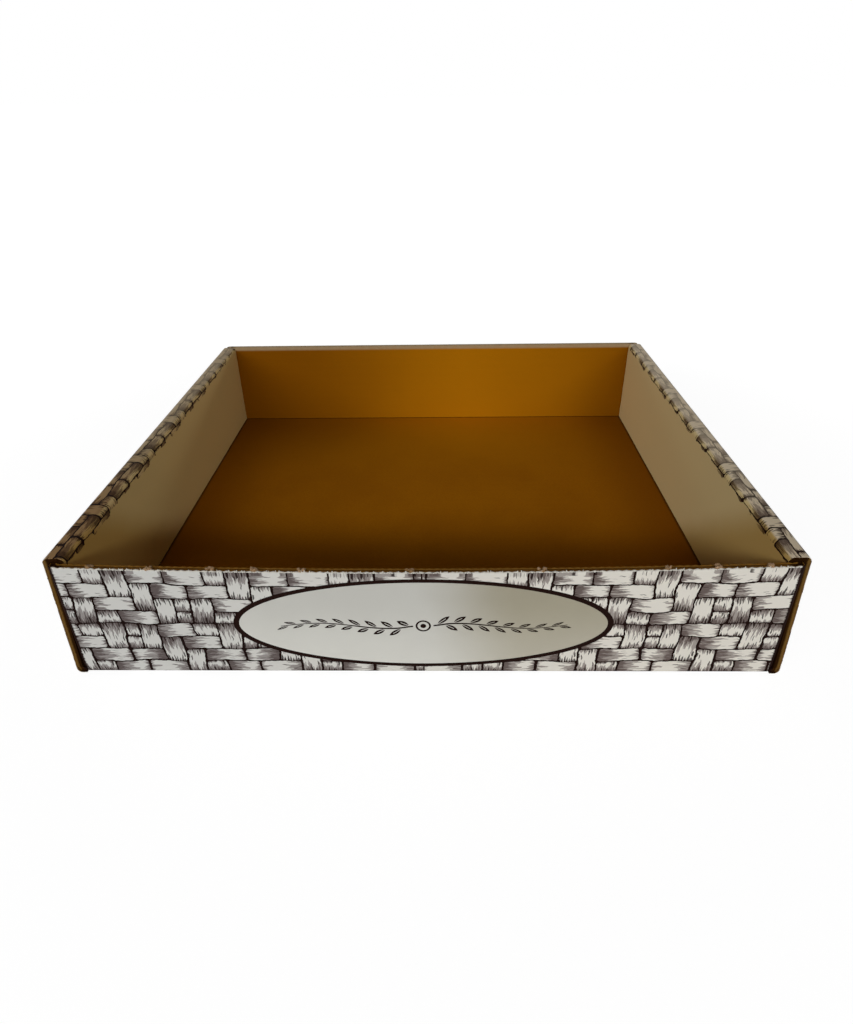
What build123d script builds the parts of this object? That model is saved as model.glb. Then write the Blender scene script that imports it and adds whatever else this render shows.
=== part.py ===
from build123d import *
import os

# Cardboard tray box: one die-cut sheet of corrugated board, folded up.
# The side walls are rolled over: outer ply, flat top, inner ply locked in the floor.
# The front and back walls are one ply, and their corner flaps lie inside the side walls.
# X runs across the front, Y to the back, Z up. The origin is under the middle of the tray.

# The whole tray
tray_width = 320.0
tray_depth = 286.0
tray_height = 62.0

# The board
board = 3.0
liner = 0.6
flute_recess = 0.7
ply_gap = 0.33

# The folds: the outside of a crease is round, the inside is pressed nearly sharp
floor_fold = 2.4
roll_fold = 2.6
inner_roll_fold = 2.8
corner_fold = 1.9
inner_crease = 0.6

# The front wall stands lower than the rolled tops, and its top bows out in the middle
front_drop = 2.2
front_bulge = 3.8

# Its top edge was cut with a toothed knife, which leaves small points
tooth_pitch = 3.2
tooth_depth = 0.45

# The corner flaps, which are held between the plies of the side walls
flap_length = 112.0
flap_taper = 14.0
flap_drop = 0.9
flap_tip_rise = 4.0
flap_lift = 1.0

# The relief slits beside the folds of the front and back walls
corner_slit = 1.0
fold_run = 2.0

# The inner plies and the tabs that lock them into the floor
inner_lift = 0.25
end_gap = 0.4
tab_length = 38.0
tab_play = 0.35
tab_tip_lift = 0.4
tab_shoulder = 1.2
tab_place_shares = (0.27, 0.73)

# How far a cutting shape runs past what it cuts
overrun = 5.0

# Places that follow from the sizes
side_wall = 3 * board + 2 * ply_gap
outer_face = tray_width / 2
outer_back = outer_face - board
flap_face = outer_back - ply_gap
inner_face = outer_face - side_wall
inner_back = inner_face + board
roll_under = tray_height - board
inner_foot = board + inner_lift
wall_start = board + flap_lift
wall_straight = flap_face - corner_fold
floor_end = board + fold_run
front_height = tray_height - front_drop
flap_top = roll_under - flap_drop
end_back = board + end_gap


def sheet_outline(skin):
    """The sheet's section across the tray, or its middle layer when skin is a liner."""
    points = [
        (inner_face + skin, inner_foot + skin),
        (inner_face + skin, tray_height - skin),
        (outer_face - skin, tray_height - skin),
        (outer_face - skin, skin),
        (-outer_face + skin, skin),
        (-outer_face + skin, tray_height - skin),
        (-inner_face - skin, tray_height - skin),
        (-inner_face - skin, inner_foot + skin),
        (-inner_back + skin, inner_foot + skin),
        (-inner_back + skin, roll_under + skin),
        (-outer_back - skin, roll_under + skin),
        (-outer_back - skin, board - skin),
        (outer_back + skin, board - skin),
        (outer_back + skin, roll_under + skin),
        (inner_back - skin, roll_under + skin),
        (inner_back - skin, inner_foot + skin),
    ]
    outside = [inner_roll_fold - skin, roll_fold - skin, floor_fold - skin]
    inside = inner_crease + skin
    radii = [0, *outside, *outside[::-1], 0, 0, *[inside] * 6, 0]
    return make_face(FilletPolyline(*points, radius=radii, close=True))


def across(section, start, end):
    """A section drawn in X and Z, stretched from one depth to another."""
    face = Plane.XZ.offset(-end) * section
    return extrude(face, amount=end - start)


def along(section, reach):
    """A section drawn in Y and Z, stretched both ways from the middle of the tray."""
    return extrude(Plane.YZ * section, amount=reach, both=True)


def block(x_low, x_high, y_low, y_high, z_low, z_high):
    """A square-cornered block between six planes."""
    box = Box(x_high - x_low, y_high - y_low, z_high - z_low)
    return Pos((x_low + x_high) / 2, (y_low + y_high) / 2, (z_low + z_high) / 2) * box


def wall_line(y_end, y_middle, reach, flip):
    """The long line of a wall seen from above, straight or bowed."""
    start = (flip * reach, y_end)
    end = (-flip * reach, y_end)
    if y_end == y_middle:
        return Line(start, end)
    return ThreePointArc(start, (0, y_middle), end)


def wall_outline(y_end, y_middle, skin):
    """A wall with its two flaps, seen from above: a flat U of one board's thickness."""
    out = flap_face - skin
    back = flap_face - board + skin
    tip = flap_length - skin
    near = y_end + skin
    far = y_end + board - skin
    lines = [
        Line((out, tip), (out, near)),
        wall_line(near, y_middle + skin, out, 1),
        Line((-out, near), (-out, tip)),
        Line((-out, tip), (-back, tip)),
        Line((-back, tip), (-back, far)),
        wall_line(far, y_middle + board - skin, back, -1),
        Line((back, far), (back, tip)),
        Line((back, tip), (out, tip)),
    ]
    face = make_face(lines)
    outer_corners = face.vertices().filter_by(lambda v: abs(v.Y - near) < liner / 2)
    face = fillet(outer_corners, corner_fold - skin)
    inner_corners = face.vertices().filter_by(lambda v: abs(v.Y - far) < liner / 2)
    inner_corners = inner_corners.filter_by(lambda v: abs(abs(v.X) - back) < liner / 2)
    return fillet(inner_corners, inner_crease + skin)


def floor_bend():
    """The fold from the floor into a wall, and the foot of that wall."""
    points = [
        (floor_end, 0),
        (0, 0),
        (0, wall_start),
        (board, wall_start),
        (board, board),
        (floor_end, board),
    ]
    radii = [0, floor_fold, 0, 0, inner_crease, 0]
    return along(make_face(FilletPolyline(*points, radius=radii, close=True)), wall_straight)


def flap_waste():
    """What is cut off both flaps: the top edge, the tapered tip and the bottom edge."""
    tip = flap_length + overrun
    start = board + end_gap / 2
    over = [
        (start, flap_top),
        (flap_length - flap_taper, flap_top),
        (flap_length, flap_top - flap_taper),
        (tip, flap_top - flap_taper),
        (tip, tray_height + overrun),
        (start, tray_height + overrun),
    ]
    under = [
        (flap_length - flap_taper, wall_start),
        (flap_length, wall_start + flap_tip_rise),
        (tip, wall_start + flap_tip_rise),
        (tip, -overrun),
        (flap_length - flap_taper, -overrun),
    ]
    waste = make_face(Polyline(*over, close=True)) + make_face(Polyline(*under, close=True))
    return along(waste, outer_face)


def tooth_waste():
    """What the toothed knife takes off the front wall's top edge."""
    count = int(wall_straight / tooth_pitch)
    high = front_height + overrun
    low = front_height - tooth_depth
    points = [(-count * tooth_pitch, high)]
    for number in range(-count, count):
        start = number * tooth_pitch
        points.append((start, front_height))
        points.append((start + tooth_pitch / 2, low))
    points.append((count * tooth_pitch, front_height))
    points.append((count * tooth_pitch, high))
    return across(make_face(Polyline(*points, close=True)), -front_bulge - overrun, board + overrun)


def top_channel(height, y_middle):
    """The open channel between the liners along the top edge of a wall."""
    section = Pos(0, 0, height - flute_recess) * wall_outline(0, y_middle, liner)
    return extrude(section, amount=flute_recess + overrun)


def front_wall():
    """The single front wall, bowed at its top, with its flaps and its fold."""
    foot = Pos(0, 0, wall_start) * wall_outline(0, 0, 0)
    crown = Pos(0, 0, front_height) * wall_outline(0, -front_bulge, 0)
    wall = loft([foot, crown], ruled=True)
    wall -= top_channel(front_height, -front_bulge)
    wall -= tooth_waste()
    wall -= flap_waste()
    return wall + floor_bend()


def back_wall():
    """The single back wall, drawn at the front: level with the rolled tops."""
    foot = Pos(0, 0, wall_start) * wall_outline(0, 0, 0)
    wall = extrude(foot, amount=tray_height - wall_start)
    wall -= top_channel(tray_height, 0)
    wall -= flap_waste()
    return wall + floor_bend()


def end_room(shift):
    """All that lies before a side wall's cut end, which slants back to clear the front wall."""
    points = [
        (-overrun, -overrun),
        (shift, -overrun),
        (shift, wall_start),
        (shift + end_back, roll_under),
        (shift + end_back, tray_height + overrun),
        (-overrun, tray_height + overrun),
    ]
    return along(make_face(Polyline(*points, close=True)), outer_face + overrun)


def side_end():
    """What is cut off the front of the side walls, with the open channel in the cut."""
    channel = across(sheet_outline(liner), -overrun, end_back + overrun)
    room = inner_back + ply_gap / 2
    low = board + inner_lift / 2
    inner_end = block(-room, room, -overrun, end_back, low, tray_height + overrun)
    return end_room(0) + (channel & end_room(flute_recess)) + inner_end


def at_back(shape):
    """A shape drawn at the front of the tray, turned round to its back."""
    return Pos(0, tray_depth, 0) * mirror(shape, about=Plane.XZ)


def tab(place):
    """A locking tab of the right inner ply, from its foot to just above the underside."""
    low = place - tab_length / 2
    high = place + tab_length / 2
    points = [
        (low, inner_foot + tab_shoulder),
        (low, tab_tip_lift + tab_shoulder),
        (low + tab_shoulder, tab_tip_lift),
        (high - tab_shoulder, tab_tip_lift),
        (high, tab_tip_lift + tab_shoulder),
        (high, inner_foot + tab_shoulder),
    ]
    face = Plane.YZ.offset(inner_face) * make_face(Polyline(*points, close=True))
    return extrude(face, amount=board)


def slot(place):
    """The slot in the floor for one tab of the right inner ply."""
    reach = tab_length / 2 + tab_play
    x_low = inner_face - tab_play
    x_high = inner_back + tab_play
    return block(x_low, x_high, place - reach, place + reach, -overrun, board + inner_lift / 2)


# The floor, the outer plies, the rolled tops and the inner plies, as one long section
sheet = across(sheet_outline(0), -overrun, tray_depth + overrun)

# The side walls end at the front wall and the back wall
end_waste = side_end()
sheet -= end_waste
sheet -= at_back(end_waste)

# The floor gives way to the folds of the front and back walls
fold_room = wall_straight + corner_slit
fold_waste = block(-fold_room, fold_room, -overrun, floor_end, -overrun, board)
sheet -= fold_waste
sheet -= at_back(fold_waste)

# The slots and the locking tabs, on both sides
for share in tab_place_shares:
    place = tray_depth * share
    hole = slot(place)
    sheet -= hole + mirror(hole, about=Plane.YZ)
    lock = tab(place)
    sheet += lock + mirror(lock, about=Plane.YZ)

# The front and back walls
sheet += front_wall()
sheet += at_back(back_wall())

# The origin goes under the middle of the tray, on the surface that it stands on
tray = Pos(0, (front_bulge - tray_depth) / 2, 0) * sheet
tray.label = "tray"

os.makedirs("parts", exist_ok=True)
export_step(tray, "parts/tray.step")
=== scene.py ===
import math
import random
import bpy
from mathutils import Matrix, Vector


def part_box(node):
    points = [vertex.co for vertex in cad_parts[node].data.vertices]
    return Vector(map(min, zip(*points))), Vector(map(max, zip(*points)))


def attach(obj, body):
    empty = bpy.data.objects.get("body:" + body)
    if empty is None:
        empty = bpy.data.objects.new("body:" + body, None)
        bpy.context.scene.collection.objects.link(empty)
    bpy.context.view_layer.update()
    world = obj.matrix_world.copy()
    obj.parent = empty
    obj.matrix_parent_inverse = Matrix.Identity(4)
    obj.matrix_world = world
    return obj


bl_info = {
    "name": "Cardboard tray box",
    "version": (1, 0, 0),
    "blender": (4, 5, 0),
    "location": "3D View > Sidebar > Tray box",
    "description": "Finishes a folded corrugated tray: printed liner, brown board, cut edges and stage",
    "category": "Object",
}

import bmesh
import bpy
from bpy.props import FloatProperty, FloatVectorProperty, IntProperty, PointerProperty
from mathutils import Matrix, Vector

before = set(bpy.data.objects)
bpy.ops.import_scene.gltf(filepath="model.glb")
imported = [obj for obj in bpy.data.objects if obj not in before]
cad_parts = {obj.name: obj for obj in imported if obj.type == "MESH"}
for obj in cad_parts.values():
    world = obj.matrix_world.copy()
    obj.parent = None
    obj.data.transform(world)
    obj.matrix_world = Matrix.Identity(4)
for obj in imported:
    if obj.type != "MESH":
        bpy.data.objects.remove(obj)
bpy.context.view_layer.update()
tray_low, tray_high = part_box("tray")

# The tray in millimetres, read from the frame
MM = 1000.0
WIDTH = (tray_high.x - tray_low.x) * MM
HEIGHT = (tray_high.z - tray_low.z) * MM
HALF_WIDTH = WIDTH / 2
BACK_PLANE = tray_high.y * MM

WHITE = (1.0, 1.0, 1.0, 1.0)

# Farther away than anything on the tray, in millimetres
FAR = 5000.0


def colour(red, green, blue):
    """A colour as written in a paint box, 0 to 255, turned into linear light."""
    parts = []
    for part in (red, green, blue):
        share = part / 255
        parts.append(share / 12.92 if share <= 0.04045 else ((share + 0.055) / 1.055) ** 2.4)
    return (*parts, 1.0)


def number_of(name, description, default, **others):
    """A number that the user may change."""
    return FloatProperty(name=name, description=description, default=default, min=0.0, **others)


def length_of(name, description, millimetres):
    """A length that the user may change, written here in millimetres."""
    default = millimetres / MM
    return number_of(name, description, default, subtype="DISTANCE", unit="LENGTH", precision=5)


def colour_of(name, description, *parts):
    """A colour that the user may change."""
    common = {"name": name, "description": description, "default": colour(*parts)}
    return FloatVectorProperty(**common, size=4, min=0.0, max=1.0, subtype="COLOR")


class TRAYBOX_PG_board(bpy.types.PropertyGroup):
    """Sizes of the folded board that the finishes follow."""

    board: length_of("Board", "Thickness of the corrugated board", 3.0)
    ply_gap: length_of("Ply gap", "Play between two plies", 0.33)
    roll_fold: length_of("Roll fold", "Radius from the outer ply to the rolled top", 2.6)
    inner_fold: length_of("Inner fold", "Radius from the rolled top to the inner ply", 2.8)
    floor_fold: length_of("Floor fold", "Radius of the folds round the floor", 2.4)
    corner_fold: length_of("Corner fold", "Radius of the upright corner folds", 1.9)
    front_drop: length_of("Front drop", "Depth of the front wall below the rolled tops", 2.2)
    front_bulge: length_of("Front bulge", "Reach of the front wall's bow", 3.8)
    end_gap: length_of("End gap", "Play between the front wall and the rolled tops", 0.4)
    wall_start: length_of("Wall start", "Height where the front wall begins to bow", 4.0)
    liner: length_of("Liner", "Thickness of the paper liner", 0.6)
    recess: length_of("Recess", "Depth of the channel in a cut edge", 0.7)
    flute_pitch: length_of("Flute pitch", "Distance from one flute to the next", 6.5)


class TRAYBOX_PG_paper(bpy.types.PropertyGroup):
    """Colours of the bare board."""

    kraft: colour_of("Brown liner", "The inside of the tray", 178, 110, 8)
    # Painted light: the brighter brown of the back wall and of the floor before it
    kraft_painted_light: colour_of("Brown liner, back", "The back wall and the floor before it", 189, 122, 5)
    # Painted shade: the brown darkens away from the painted light's middle
    kraft_painted_shade: colour_of("Brown liner, shade", "Browning away from the bright middle", 188, 178, 150)
    kraft_dark: colour_of("Brown liner, dark", "Darker fibres of the inside", 144, 82, 4)
    # Painted shade: the darker brown beside the side walls
    wear_and_painted_light: colour_of("Brown liner, rubbed", "The inside beside the side walls", 94, 48, 1)
    cut: colour_of("Cut edge", "The inner part of the raw edge", 44, 23, 4)
    cut_light: colour_of("Cut edge, light", "The outer part of the raw edge", 118, 87, 42)
    core: colour_of("Fluted core", "The fluted layer inside the board", 140, 98, 38)
    core_dark: colour_of("Fluted core, dark", "Darker fibres of the fluted layer", 96, 62, 20)
    white: colour_of("White liner", "The outside of the tray", 226, 222, 211)
    # Painted warm light and shade: the inner plies are tinted as if lit by the brown inside, the left one
    # darker
    left_ply_painted_light: colour_of("Left inner ply", "Bare liner of the left inner ply", 228, 202, 136)
    right_ply_painted_light: colour_of("Right inner ply", "Bare liner of the right inner ply", 236, 214, 156)
    # Painted warm light and shade on the print that runs down the inner plies
    left_print_painted_light: colour_of("Print, left ply", "Tint of the left inner ply's print", 246, 222, 164)
    right_print_painted_light: colour_of("Print, right ply", "Tint of the right inner ply's print", 255, 236, 181)
    # Painted shadow of the front wall on both inner plies
    ply_painted_shadow: colour_of("Inner plies, front", "Browning of both near the front", 218, 202, 168)
    # Painted light and shade of the rolled tops: darker on the left, most at its front end, lighter on
    # the right
    left_roll_painted_shade: colour_of("Aged liner, left", "Browning of the left rolled top", 216, 194, 158)
    left_roll_front_painted_shade: colour_of("Aged liner, front", "Browning of its front end", 214, 194, 176)
    right_roll_painted_light: colour_of("Aged liner, right", "Browning of the right rolled top", 254, 239, 216)
    crushed: colour_of("Crushed edge", "The pale rim along the back wall", 176, 154, 120)
    roughness: number_of("Roughness", "Roughness of the paper", 0.78, max=1.0, subtype="FACTOR")


class TRAYBOX_PG_print(bpy.types.PropertyGroup):
    """The printed basket weave and the oval panel."""

    ink: colour_of("Ink", "Outlines of the printed weave", 30, 14, 10)
    shade: colour_of("Shade", "Shaded ends of the strips", 164, 155, 148)
    deep: colour_of("Deep shade", "Darkest streaks of the strips", 98, 84, 80)
    strip: colour_of("Strip", "Light face of the strips", 236, 231, 220)
    cool: colour_of("Cool tint", "Greying towards the front's left end", 232, 236, 242)
    panel: colour_of("Panel", "Inside of the oval panel", 222, 221, 213)
    panel_stain: colour_of("Panel stain", "Browning of the panel's right part", 215, 208, 190)
    panel_top: colour_of("Panel top", "Greying of the panel's upper part", 237, 237, 237)
    # Print worn paler; the left is darker and the right lighter as painted light
    pale_left: colour_of("Rubbed print, left", "Print worn off the left rolled top", 222, 200, 168)
    pale_right: colour_of("Rubbed print, right", "Print worn off the right rolled top", 248, 228, 196)
    column: length_of("Column", "Width of one column of the weave", 8.7)
    row: length_of("Row", "Height of one row of the weave", 7.4)
    row_start: length_of("Row start", "Height where the lowest row starts", 0.5)
    gap: length_of("Gap", "Width of the dark line between two strips", 0.6)
    corner: length_of("Corner", "Corner radius of a printed strip", 1.15)
    oval_width: length_of("Oval width", "Width of the oval panel", 164.3)
    oval_height: length_of("Oval height", "Height of the oval panel", 51.9)
    oval_place: length_of("Oval place", "Height of the oval panel's middle", 30.2)
    oval_line: length_of("Oval line", "Width of its line at the top and foot", 1.95)
    left_bleed: length_of("Left bleed", "Reach of the print down the left ply", 4.6)
    right_bleed: length_of("Right bleed", "Reach of the print down the right ply", 3.4)


class TRAYBOX_PG_edge(bpy.types.PropertyGroup):
    """The torn and cut edges."""

    burrs: IntProperty(name="Burrs", description="Points along the front wall's top", default=150, min=0)
    burr: length_of("Burr", "Length of a small paper point", 0.7)
    tie: length_of("Torn tie", "Height of a torn tuft", 2.3)
    fibre: colour_of("Torn fibre", "Tufts of torn paper", 190, 158, 128)
    fibre_white: colour_of("White fibre", "Torn white liner", 224, 219, 206)


class TRAYBOX_PG_stage(bpy.types.PropertyGroup):
    """Light and floor."""

    key: number_of("Key light", "Power of the soft light above the front", 89.0, unit="POWER")
    fill: number_of("Fill light", "Power of the low light behind the tray", 24.0, unit="POWER")
    room: number_of("Room light", "Strength of the even light from all round", 0.076)
    floor: colour_of("Floor", "The plain pale floor", 236, 236, 236)
    floor_gap: length_of("Floor gap", "Gap between the floor and the tray", 0.2)


class Sizes:
    """The board's sizes in millimetres, and the places that follow from them."""

    def __init__(self):
        board = bpy.context.scene.tray_board
        for name in TRAYBOX_PG_board.__annotations__:
            setattr(self, name, getattr(board, name) * MM)
        self.wall = 3 * self.board + 2 * self.ply_gap
        self.flap_face = HALF_WIDTH - self.board - self.ply_gap
        self.front_plane = tray_low.y * MM + self.front_bulge
        self.front_top = HEIGHT - self.front_drop
        self.wall_rise = self.front_top - self.wall_start


def operator(operation, swapped=False):
    """A Python operator that adds a maths node."""

    def run(first, *others):
        values = (first, *others)
        return first.recipe.math(operation, *(values[::-1] if swapped else values))

    return run


class Field:
    """A value that changes over a surface: one socket, with Python's operators."""

    def __init__(self, recipe, socket):
        self.recipe = recipe
        self.socket = socket

    __add__ = __radd__ = operator("ADD")
    __sub__ = operator("SUBTRACT")
    __rsub__ = operator("SUBTRACT", swapped=True)
    __mul__ = __rmul__ = operator("MULTIPLY")
    __truediv__ = operator("DIVIDE")
    __pow__ = operator("POWER")
    __mod__ = operator("FLOORED_MODULO")
    __lt__ = operator("LESS_THAN")
    __gt__ = operator("GREATER_THAN")
    __abs__ = operator("ABSOLUTE")

    def __neg__(self):
        return self * -1.0


class Recipe:
    """Builds the nodes of one material, or of the world."""

    MIX_SOCKETS = {"FLOAT": (2, 3, 0), "VECTOR": (4, 5, 1), "RGBA": (6, 7, 2)}

    def __init__(self, holder):
        self.holder = holder
        self.holder.use_nodes = True
        self.tree = self.holder.node_tree
        self.tree.nodes.clear()

    def node(self, kind, settings=None, sockets=None, output=0):
        """One node: its settings first, then values or links for its sockets. Gives one output."""
        made = self.tree.nodes.new(kind)
        rows = 12
        column, row = divmod(len(self.tree.nodes) - 1, rows)
        made.location = (200 * column, -180 * row)
        for name, value in (settings or {}).items():
            setattr(made, name, value)
        for name, value in (sockets or {}).items():
            if isinstance(value, Field):
                self.tree.links.new(value.socket, made.inputs[name])
            else:
                made.inputs[name].default_value = value
        return made if output is None else Field(self, made.outputs[output])

    def math(self, operation, *values):
        return self.node("ShaderNodeMath", {"operation": operation}, dict(enumerate(values)))

    def vector(self, operation, *values, output=0):
        settings = {"operation": operation}
        return self.node("ShaderNodeVectorMath", settings, dict(enumerate(values)), output)

    def mix(self, factor, low, high, kind="FLOAT", blend="MIX"):
        first, second, output = self.MIX_SOCKETS[kind]
        settings = {"data_type": kind, "blend_type": blend}
        return self.node("ShaderNodeMix", settings, {0: factor, first: low, second: high}, output)

    def paint(self, factor, low, high):
        """A colour painted over another."""
        return self.mix(factor, low, high, "RGBA")

    def blend(self, factor, low, high):
        """A colour multiplied by another."""
        return self.mix(factor, low, high, "RGBA", "MULTIPLY")

    def either(self, factor, first, second):
        """The first shader where the factor is 0, and the second where it is 1."""
        return self.node("ShaderNodeMixShader", None, {0: factor, 1: first, 2: second})

    def least(self, first, *others):
        for value in others:
            first = self.math("MINIMUM", first, value)
        return first

    def most(self, first, *others):
        for value in others:
            first = self.math("MAXIMUM", first, value)
        return first

    def step(self, value, low, high):
        """0 at low, 1 at high and smooth between."""
        settings = {"interpolation_type": "SMOOTHSTEP", "clamp": True}
        sockets = {0: value, 1: low, 2: high, 3: 0.0, 4: 1.0}
        return self.node("ShaderNodeMapRange", settings, sockets)

    def join(self, x, y, z):
        return self.node("ShaderNodeCombineXYZ", None, {0: x, 1: y, 2: z})

    def part(self, vector):
        made = self.node("ShaderNodeSeparateXYZ", None, {0: vector}, None)
        return [Field(self, socket) for socket in made.outputs]

    def length(self, x, y, z=0.0):
        return self.vector("LENGTH", self.join(x, y, z), output=1)

    def noise(self, vector, scale, detail=2.0, roughness=0.5, output=0):
        sockets = {"Vector": vector, "Scale": scale, "Detail": detail, "Roughness": roughness}
        return self.node("ShaderNodeTexNoise", {"noise_dimensions": "3D"}, sockets, output)

    def chance(self, dimensions, sockets):
        """Three random numbers for each whole number or pair of them."""
        settings = {"noise_dimensions": dimensions}
        return self.part(self.node("ShaderNodeTexWhiteNoise", settings, sockets, 1))

    def place(self):
        """The place on the object, in millimetres."""
        made = self.node("ShaderNodeTexCoord", output="Object")
        return self.vector("MULTIPLY", made, (MM, MM, MM))

    def seen(self):
        """1 for what the camera sees, directly, in a reflection or through glass."""
        path = self.node("ShaderNodeLightPath", output=None)
        names = ("Is Camera Ray", "Is Glossy Ray", "Is Transmission Ray")
        return self.most(*[Field(self, path.outputs[name]) for name in names])

    def paper(self, tint, roughness, relief, strength):
        """A dull paper shader."""
        bump = {"Height": relief, "Strength": strength, "Distance": 0.001}
        sockets = {
            "Base Color": tint,
            "Roughness": roughness,
            "Specular IOR Level": 0.03,
            "Normal": self.node("ShaderNodeBump", None, bump),
        }
        return self.node("ShaderNodeBsdfPrincipled", None, sockets)

    def finish(self, shader, kind="ShaderNodeOutputMaterial"):
        self.node(kind, None, {"Surface": shader}, None)
        return self.holder


# The weave's layout: first column, lowest row, columns wide, rows high.
# A strip wider than WEAVE_LYING columns lies across, and the others stand.
WEAVE_STRIPS = (
    (0.0, 0, 1.0, 2), (1.05, 0, 1.05, 1), (2.15, 0, 1.7, 1), (3.9, 0, 2.05, 1),
    (1.05, 1, 2.1, 1), (3.2, 1, 1.75, 1), (4.97, 1, 1.0, 2), (0.03, 2, 2.0, 1),
    (2.07, 2, 1.08, 2), (3.2, 2, 0.7, 1), (3.93, 2, 1.0, 2), (0.87, 3, 1.17, 1),
    (3.2, 3, 0.7, 1), (4.97, 3, 1.87, 1), (1.05, 4, 1.0, 2), (2.08, 4, 1.12, 1),
    (3.22, 4, 1.95, 1), (5.2, 4, 1.0, 2), (0.23, 4, 0.78, 1), (2.07, 5, 2.1, 1),
    (4.2, 5, 1.0, 2), (0.23, 5, 0.78, 1), (1.03, 6, 2.05, 1), (3.12, 6, 1.05, 2),
    (5.25, 6, 1.74, 1), (0.1, 7, 1.9, 1), (2.04, 7, 1.05, 1), (4.2, 7, 1.88, 1),
)
WEAVE_LYING = 1.5
WEAVE_COLUMNS = 6
WEAVE_ROWS = 8

# A strip's number times STRIP_CODE, plus half its length, goes through the nodes as one number
STRIP_CODE = 20.0


def wobble(recipe, flat, scale, reach):
    """A shift to and fro, because the hand that drew the weave was not quite steady."""
    centred = recipe.vector("SUBTRACT", recipe.noise(flat, scale, 1.0, output=1), (0.5, 0.5, 0.5))
    return recipe.vector("MULTIPLY", centred, reach)


def weave_strip(recipe, across, up, prints):
    """The strip at a place: how far along and aside of its middle, half length, number, standing."""
    column = prints.column * MM
    row = prints.row * MM
    corner = prints.corner * MM
    gap = prints.gap * MM
    flat = recipe.join(across, up - prints.row_start * MM, 0.0)
    slow = wobble(recipe, flat, 0.055, (4.2, 3.4, 0.0))
    quick = wobble(recipe, flat, 0.45, (0.9, 0.9, 0.0))
    spot = recipe.vector("ADD", flat, recipe.vector("ADD", slow, quick))
    tile = (WEAVE_COLUMNS * column / 2, WEAVE_ROWS * row / 2, FAR)
    tile_low = tuple(-side for side in tile)
    chosen = (0.0, 0.0, 0.0)
    dice = random.Random(7)
    for number, (left, low, wide, high) in enumerate(WEAVE_STRIPS, 1):
        half_x = (wide * column - gap) / 2 + dice.uniform(-0.12, 0.16)
        half_y = (high * row - gap) / 2 + dice.uniform(-0.1, 0.12)
        lying = wide > WEAVE_LYING
        code = number * STRIP_CODE + (half_x if lying else half_y)
        middle = ((left + wide / 2) * column, (low + high / 2) * row, -code if lying else code)
        offset = recipe.vector("WRAP", recipe.vector("SUBTRACT", spot, middle), tile, tile_low)
        core = (half_x - corner, half_y - corner, FAR)
        past = recipe.vector("SUBTRACT", recipe.vector("ABSOLUTE", offset), core)
        past = recipe.vector("MAXIMUM", past, (0.0, 0.0, 0.0))
        past = recipe.vector("LENGTH", past, output=1)
        chosen = recipe.mix(past < corner, chosen, offset, "VECTOR")
    side_x, side_y, code = recipe.part(chosen)
    standing = code < 0.0
    half_long = abs(code) % STRIP_CODE
    number = recipe.math("FLOOR", abs(code) / STRIP_CODE)
    along = recipe.mix(standing, side_x, side_y)
    aside = recipe.mix(standing, side_y, side_x)
    return along, aside, half_long, number, standing


def weave_colour(recipe, across, up, prints):
    """The printed basket weave, and a number of chance that is the same all over one strip."""
    along, aside, half_long, number, standing = weave_strip(recipe, across, up, prints)
    luck = recipe.chance("1D", {"W": number})
    turned = recipe.mix(luck[2] > 0.5, along, -along)
    near_end = half_long - turned
    far_end = half_long + turned
    # Grey wedges with ragged fingers, long from one end and short from the other
    streak_place = recipe.join(aside * 0.85, along * 0.07, number * 7.3)
    streak = recipe.noise(streak_place, 1.0, 2.0, 0.62) - 0.5
    fine_place = recipe.join(aside * 2.1, along * 0.14, number * 3.1)
    fine_streak = recipe.noise(fine_place, 1.0, 2.0, 0.6) - 0.5
    reach = half_long * recipe.mix(standing, 0.115, 0.118)
    long_wedge = (luck[0] * 6.0 + 4.2 + streak * 28.0) * reach
    short_wedge = (luck[1] * 3.6 - 0.6 + streak * 17.0) * reach
    grey = recipe.most(
        recipe.step(long_wedge - near_end, -0.3, 0.45),
        recipe.step(short_wedge - far_end, -0.3, 0.45),
    )
    deep_wedge = (luck[0] * 4.0 + 1.0 + fine_streak * 26.0) * reach
    deep = recipe.most(
        recipe.step(deep_wedge - near_end, -1.2, 0.8),
        recipe.step(fine_streak * 12.0 - far_end, -1.0, 0.8),
    )
    # Short pen strokes from both ends, thicker on the standing strips
    stroke_place = aside / 1.15 + luck[2] * 9.0 + streak * 0.9
    stroke_number = recipe.math("FLOOR", stroke_place)
    stroke_luck = recipe.chance("2D", {"Vector": recipe.join(stroke_number, number, 0.0)})
    from_stroke = abs(stroke_place - stroke_number - 0.5)
    stroke_reach = recipe.mix(standing, 3.0, half_long * 0.74)
    thick = recipe.mix(standing, 0.12, 0.3)
    near_pen = recipe.step(stroke_luck[0] * stroke_reach - 0.2 - near_end, 0.0, 2.0) * thick
    far_pen = recipe.step(stroke_luck[1] * stroke_reach - 0.2 - far_end, 0.0, 2.0) * thick
    # Some strokes stand alone in the middle of a strip
    from_alone = abs(along - (stroke_luck[2] - 0.5) * half_long * 1.7) - 1.0
    is_alone = stroke_luck[0] + stroke_luck[1] < 0.85
    free_pen = recipe.step(from_alone, 0.9, -0.3) * is_alone * (thick * 0.8)
    pen = recipe.step(recipe.most(near_pen, far_pen, free_pen) - from_stroke, -0.02, 0.07)
    tone = recipe.paint(grey * 0.94, prints.strip, prints.shade)
    tone = recipe.paint(deep * 0.88, tone, prints.deep)
    tone = recipe.paint(pen * 0.86, tone, prints.ink)
    tone = recipe.paint(number > 0.5, prints.ink, tone)
    return tone, luck[2]


# The sprig in the oval panel, in millimetres
SPRIG_END = 62.0
SPRIG_START = 4.4
STEM_HALF = 0.42
LEAF_PITCH = 7.0
LEAF_LENGTH = 3.3
LEAF_WIDTH = 1.15
LEAF_MIDDLE = 2.5
LEAF_TILT = math.radians(36)
VEIN_HALF = 0.16
VEIN_END = 1.2
RING_RADIUS = 2.9
BUD_RADIUS = 1.25


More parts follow.
